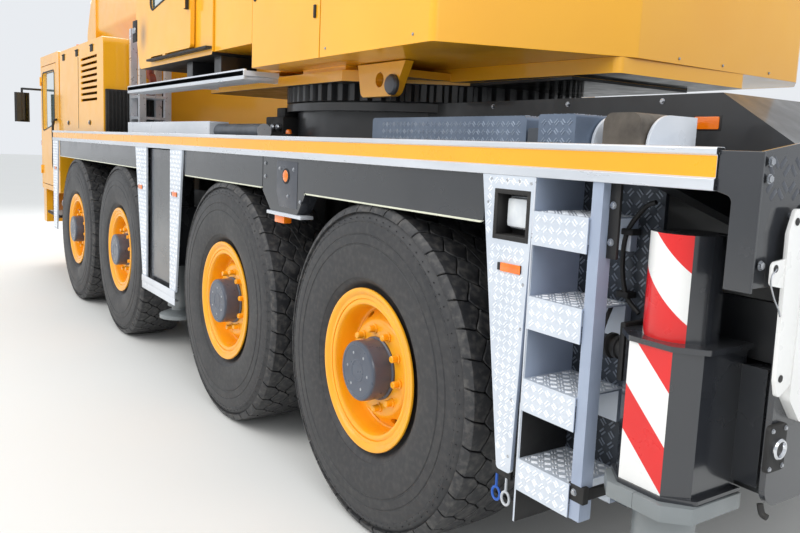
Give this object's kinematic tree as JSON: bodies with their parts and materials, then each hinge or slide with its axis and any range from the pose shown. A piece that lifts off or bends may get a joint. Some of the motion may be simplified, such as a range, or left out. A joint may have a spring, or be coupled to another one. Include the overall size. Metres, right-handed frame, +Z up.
{
  "type": "four-axle mobile crane",
  "caption": "Mobile crane on four steered axles with a telescopic boom, slewing upper carriage, road cab, crane cab, deck rails, side ladders and box outriggers.",
  "frame": {"origin": "on the ground, in the centre of the overall box", "axes": "+X forward, towards the road cab and the boom's head, +Y to the machine's left, +Z up"},
  "size_m": [12.09, 3.08, 3.8518],
  "materials": {
    "frame_dark": "gloss black chassis paint",
    "yellow_paint": "gloss yellow paint",
    "dark_sheet": "gloss dark grey paint",
    "chequer_plate": "bright chequered sheet",
    "rail": "satin extrusion with a yellow strip",
    "gear": "light grey paint",
    "hook_red": "worn red-brown paint",
    "driveline": "painted castings",
    "tyre": "matt rubber",
    "rim": "gloss orange-yellow paint",
    "knuckle": "painted casting",
    "glass": "tinted glass",
    "seat": "dark fabric and plastic",
    "outrigger": "gloss dark grey paint with striped faces",
    "leg": "ground steel",
    "winch": "dark paint",
    "boom": "gloss yellow paint",
    "rod": "chromed"
  },
  "bodies": {
    "root": {"chassis_frame": "frame_dark", "front_bumper": "yellow_paint", "deck": "rail", "dark_panels": "dark_sheet", "side_panels": "chequer_plate", "deck_gear": "gear", "hook_block": "hook_red", "engine_housing": "yellow_paint", "drivetrain": "driveline", "road_cab": "yellow_paint", "road_cab_glass": "glass", "road_cab_interior": "seat"},
    "superstructure": {"turntable": "yellow_paint", "upper_housings": "yellow_paint", "counterweight": "yellow_paint", "crane_cab": "yellow_paint", "crane_cab_glass": "glass", "crane_cab_seat": "seat"},
    "crane_door": {"crane_cab_door": "yellow_paint"},
    "winch": {"winch_drum": "winch"},
    "boom": {"boom_base": "boom"},
    "slide_1": {"boom_slide_1": "boom"},
    "slide_2": {"boom_slide_2": "boom"},
    "slide_3": {"boom_slide_3": "boom"},
    "luff_cylinder": {"luff_barrel": "yellow_paint"},
    "luff_piston": {"luff_rod": "rod"},
    "cab_door_left": {"road_cab_door_left": "yellow_paint"},
    "cab_door_right": {"road_cab_door_right": "yellow_paint"},
    "knuckle_4_left": {"knuckle_4_left": "knuckle"},
    "wheel_4_left": {"tyre_4_left": "tyre", "rim_4_left": "rim"},
    "knuckle_4_right": {"knuckle_4_right": "knuckle"},
    "wheel_4_right": {"tyre_4_right": "tyre", "rim_4_right": "rim"},
    "knuckle_3_left": {"knuckle_3_left": "knuckle"},
    "wheel_3_left": {"tyre_3_left": "tyre", "rim_3_left": "rim"},
    "knuckle_3_right": {"knuckle_3_right": "knuckle"},
    "wheel_3_right": {"tyre_3_right": "tyre", "rim_3_right": "rim"},
    "knuckle_2_left": {"knuckle_2_left": "knuckle"},
    "wheel_2_left": {"tyre_2_left": "tyre", "rim_2_left": "rim"},
    "knuckle_2_right": {"knuckle_2_right": "knuckle"},
    "wheel_2_right": {"tyre_2_right": "tyre", "rim_2_right": "rim"},
    "knuckle_1_left": {"knuckle_1_left": "knuckle"},
    "wheel_1_left": {"tyre_1_left": "tyre", "rim_1_left": "rim"},
    "knuckle_1_right": {"knuckle_1_right": "knuckle"},
    "wheel_1_right": {"tyre_1_right": "tyre", "rim_1_right": "rim"},
    "outrigger_rear_left": {"outrigger_beam_rear_left": "outrigger"},
    "leg_rear_left": {"outrigger_leg_rear_left": "leg"},
    "outrigger_rear_right": {"outrigger_beam_rear_right": "outrigger"},
    "leg_rear_right": {"outrigger_leg_rear_right": "leg"},
    "outrigger_front_left": {"outrigger_beam_front_left": "outrigger"},
    "leg_front_left": {"outrigger_leg_front_left": "leg"},
    "outrigger_front_right": {"outrigger_beam_front_right": "outrigger"},
    "leg_front_right": {"outrigger_leg_front_right": "leg"}
  },
  "joints": [
    {"name": "cab_door_left_swing", "type": "hinge", "parent": "root", "child": "cab_door_left", "pos_m": [4.021, 1.262, 1.8], "axis": [0, 0, -1], "range_deg": [0, 70]},
    {"name": "cab_door_right_swing", "type": "hinge", "parent": "root", "child": "cab_door_right", "pos_m": [4.021, -1.262, 1.8], "axis": [0, 0, 1], "range_deg": [0, 70]},
    {"name": "steer_4_left", "type": "hinge", "parent": "root", "child": "knuckle_4_left", "pos_m": [-4.245, 0.8605, 0.7465], "axis": [0, 0, 1], "range_deg": [-18, 18]},
    {"name": "roll_4_left", "type": "hinge", "parent": "knuckle_4_left", "child": "wheel_4_left", "pos_m": [-4.245, 1.1525, 0.7465], "axis": [0, 1, 0], "continuous": true},
    {"name": "steer_4_right", "type": "hinge", "parent": "root", "child": "knuckle_4_right", "pos_m": [-4.245, -0.8605, 0.7465], "axis": [0, 0, 1], "range_deg": [-18, 18]},
    {"name": "roll_4_right", "type": "hinge", "parent": "knuckle_4_right", "child": "wheel_4_right", "pos_m": [-4.245, -1.1525, 0.7465], "axis": [0, 1, 0], "continuous": true},
    {"name": "steer_3_left", "type": "hinge", "parent": "root", "child": "knuckle_3_left", "pos_m": [-2.57, 0.8605, 0.7465], "axis": [0, 0, 1], "range_deg": [-10.8, 10.8]},
    {"name": "roll_3_left", "type": "hinge", "parent": "knuckle_3_left", "child": "wheel_3_left", "pos_m": [-2.57, 1.1525, 0.7465], "axis": [0, 1, 0], "continuous": true},
    {"name": "steer_3_right", "type": "hinge", "parent": "root", "child": "knuckle_3_right", "pos_m": [-2.57, -0.8605, 0.7465], "axis": [0, 0, 1], "range_deg": [-10.8, 10.8]},
    {"name": "roll_3_right", "type": "hinge", "parent": "knuckle_3_right", "child": "wheel_3_right", "pos_m": [-2.57, -1.1525, 0.7465], "axis": [0, 1, 0], "continuous": true},
    {"name": "steer_2_left", "type": "hinge", "parent": "root", "child": "knuckle_2_left", "pos_m": [-0.145, 0.8605, 0.7465], "axis": [0, 0, 1], "range_deg": [-21, 21]},
    {"name": "roll_2_left", "type": "hinge", "parent": "knuckle_2_left", "child": "wheel_2_left", "pos_m": [-0.145, 1.1525, 0.7465], "axis": [0, 1, 0], "continuous": true},
    {"name": "steer_2_right", "type": "hinge", "parent": "root", "child": "knuckle_2_right", "pos_m": [-0.145, -0.8605, 0.7465], "axis": [0, 0, 1], "range_deg": [-21, 21]},
    {"name": "roll_2_right", "type": "hinge", "parent": "knuckle_2_right", "child": "wheel_2_right", "pos_m": [-0.145, -1.1525, 0.7465], "axis": [0, 1, 0], "continuous": true},
    {"name": "steer_1_left", "type": "hinge", "parent": "root", "child": "knuckle_1_left", "pos_m": [1.53, 0.8605, 0.7465], "axis": [0, 0, 1], "range_deg": [-30, 30]},
    {"name": "roll_1_left", "type": "hinge", "parent": "knuckle_1_left", "child": "wheel_1_left", "pos_m": [1.53, 1.1525, 0.7465], "axis": [0, 1, 0], "continuous": true},
    {"name": "steer_1_right", "type": "hinge", "parent": "root", "child": "knuckle_1_right", "pos_m": [1.53, -0.8605, 0.7465], "axis": [0, 0, 1], "range_deg": [-30, 30]},
    {"name": "roll_1_right", "type": "hinge", "parent": "knuckle_1_right", "child": "wheel_1_right", "pos_m": [1.53, -1.1525, 0.7465], "axis": [0, 1, 0], "continuous": true},
    {"name": "outrigger_rear_left_out", "type": "slide", "parent": "root", "child": "outrigger_rear_left", "axis": [0, 1, 0], "range_m": [0, 1.9]},
    {"name": "leg_rear_left_down", "type": "slide", "parent": "outrigger_rear_left", "child": "leg_rear_left", "axis": [0, 0, -1], "range_m": [0, 0.6]},
    {"name": "outrigger_rear_right_out", "type": "slide", "parent": "root", "child": "outrigger_rear_right", "axis": [0, -1, 0], "range_m": [0, 1.9]},
    {"name": "leg_rear_right_down", "type": "slide", "parent": "outrigger_rear_right", "child": "leg_rear_right", "axis": [0, 0, -1], "range_m": [0, 0.6]},
    {"name": "outrigger_front_left_out", "type": "slide", "parent": "root", "child": "outrigger_front_left", "axis": [0, 1, 0], "range_m": [0, 1.9]},
    {"name": "leg_front_left_down", "type": "slide", "parent": "outrigger_front_left", "child": "leg_front_left", "axis": [0, 0, -1], "range_m": [0, 0.6]},
    {"name": "outrigger_front_right_out", "type": "slide", "parent": "root", "child": "outrigger_front_right", "axis": [0, -1, 0], "range_m": [0, 1.9]},
    {"name": "leg_front_right_down", "type": "slide", "parent": "outrigger_front_right", "child": "leg_front_right", "axis": [0, 0, -1], "range_m": [0, 0.6]},
    {"name": "slew", "type": "hinge", "parent": "root", "child": "superstructure", "pos_m": [-2.845, 0, 1.985], "axis": [0, 0, 1], "continuous": true},
    {"name": "luff", "type": "hinge", "parent": "superstructure", "child": "boom", "pos_m": [-4.445, 0, 3.35], "axis": [0, -1, 0], "range_deg": [0, 80]},
    {"name": "luff_cylinder_swing", "type": "hinge", "parent": "superstructure", "child": "luff_cylinder", "pos_m": [-3.095, 0, 2.43], "axis": [0, -1, 0], "range_deg": [0, 83.6]},
    {"name": "luff_cylinder_slide", "type": "slide", "parent": "luff_cylinder", "child": "luff_piston", "axis": [0.9932, 0, 0.1167], "range_m": [0, 2.0846]},
    {"name": "telescope_1", "type": "slide", "parent": "boom", "child": "slide_1", "axis": [1, 0, 0], "range_m": [0, 7.4]},
    {"name": "telescope_2", "type": "slide", "parent": "slide_1", "child": "slide_2", "axis": [1, 0, 0], "range_m": [0, 7.4]},
    {"name": "telescope_3", "type": "slide", "parent": "slide_2", "child": "slide_3", "axis": [1, 0, 0], "range_m": [0, 7.4]},
    {"name": "crane_door_slide", "type": "slide", "parent": "superstructure", "child": "crane_door", "axis": [-1, 0, 0], "range_m": [0, 0.8]},
    {"name": "winch_turn", "type": "hinge", "parent": "superstructure", "child": "winch", "pos_m": [-3.895, 0, 2.62], "axis": [0, 1, 0], "continuous": true}
  ],
  "couplings": [
    {"joint": "steer_4_right", "follows": "steer_4_left", "ratio": 1},
    {"joint": "steer_3_left", "follows": "steer_4_left", "ratio": 0.6},
    {"joint": "steer_3_right", "follows": "steer_4_left", "ratio": 0.6},
    {"joint": "steer_2_left", "follows": "steer_1_left", "ratio": 0.7},
    {"joint": "steer_2_right", "follows": "steer_1_left", "ratio": 0.7},
    {"joint": "steer_1_right", "follows": "steer_1_left", "ratio": 1},
    {"joint": "luff_cylinder_swing", "follows": "luff", "ratio": 1.0449},
    {"joint": "luff_cylinder_slide", "follows": "luff", "m_per_rad": 1.4929},
    {"joint": "telescope_2", "follows": "telescope_1", "ratio": 1},
    {"joint": "telescope_3", "follows": "telescope_1", "ratio": 1}
  ]
}
